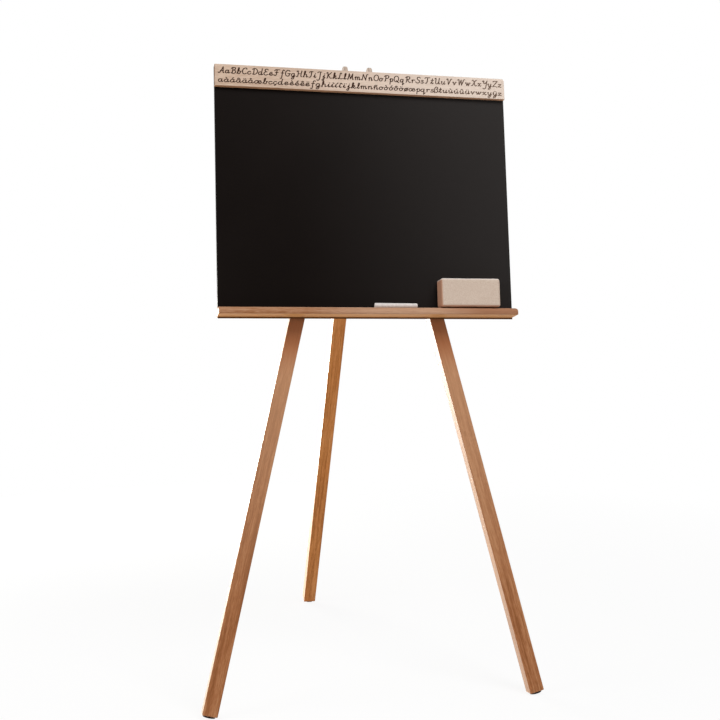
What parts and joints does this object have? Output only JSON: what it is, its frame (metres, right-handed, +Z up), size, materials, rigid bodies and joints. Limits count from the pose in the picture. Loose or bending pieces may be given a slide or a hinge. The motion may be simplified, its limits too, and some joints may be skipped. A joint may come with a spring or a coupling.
{
  "type": "chalkboard easel",
  "caption": "Wooden tripod easel with a black chalk writing board, a lettered top rail and a chalk ledge; its rear leg folds in, and its chalk and eraser lift off.",
  "frame": {"origin": "on the floor, in the plane midway between the front legs, halfway between the footprint's front and its back", "axes": "+X to the right of a person who reads the board, +Y away from that person, +Z up"},
  "size_m": [0.62, 0.7334, 1.1632],
  "materials": {
    "board": "matt black writing paint on a fibreboard sheet",
    "leg_wood": "clear-oiled orange-brown softwood, planed",
    "ledge_wood": "clear-oiled orange-brown softwood, planed",
    "pale_wood": "pale unfinished hardwood, sanded",
    "steel": "zinc-plated steel",
    "nylon": "natural nylon",
    "glide": "dark hard plastic",
    "chalk": "pressed white chalk",
    "felt": "pressed beige felt"
  },
  "bodies": {
    "front_frame": {"board_panel": "board", "front_left_leg": "leg_wood", "front_right_leg": "leg_wood", "chalk_ledge": "ledge_wood", "top_rail": "pale_wood", "head_wedge": "pale_wood", "head_block": "pale_wood", "left_cheek": "pale_wood", "right_cheek": "pale_wood", "pivot_bolt": "steel", "pivot_nut": "steel", "pivot_washers": "steel", "board_screws": "steel", "ledge_screws": "steel", "wedge_screws": "steel", "block_screws": "steel", "cheek_screws": "steel", "rail_screws": "steel", "left_spacer": "nylon", "right_spacer": "nylon", "left_foot_glide": "glide", "right_foot_glide": "glide"},
    "rear_support": {"rear_leg": "leg_wood", "rear_foot_glide": "glide"},
    "chalk": {"chalk_stick": "chalk"},
    "eraser": {"eraser_block": "felt"}
  },
  "joints": [
    {"name": "rear_leg_fold", "type": "hinge", "parent": "front_frame", "child": "rear_support", "pos_m": [0, -0.17541, 1.03144], "axis": [1, 0, 0], "range_deg": [-35.9, 0]},
    {"name": "chalk_lift", "type": "slide", "parent": "front_frame", "child": "chalk", "axis": [0, 0, 1], "range_m": [0, 0.12]},
    {"name": "eraser_lift", "type": "slide", "parent": "front_frame", "child": "eraser", "axis": [0, 0, 1], "range_m": [0, 0.15]}
  ]
}
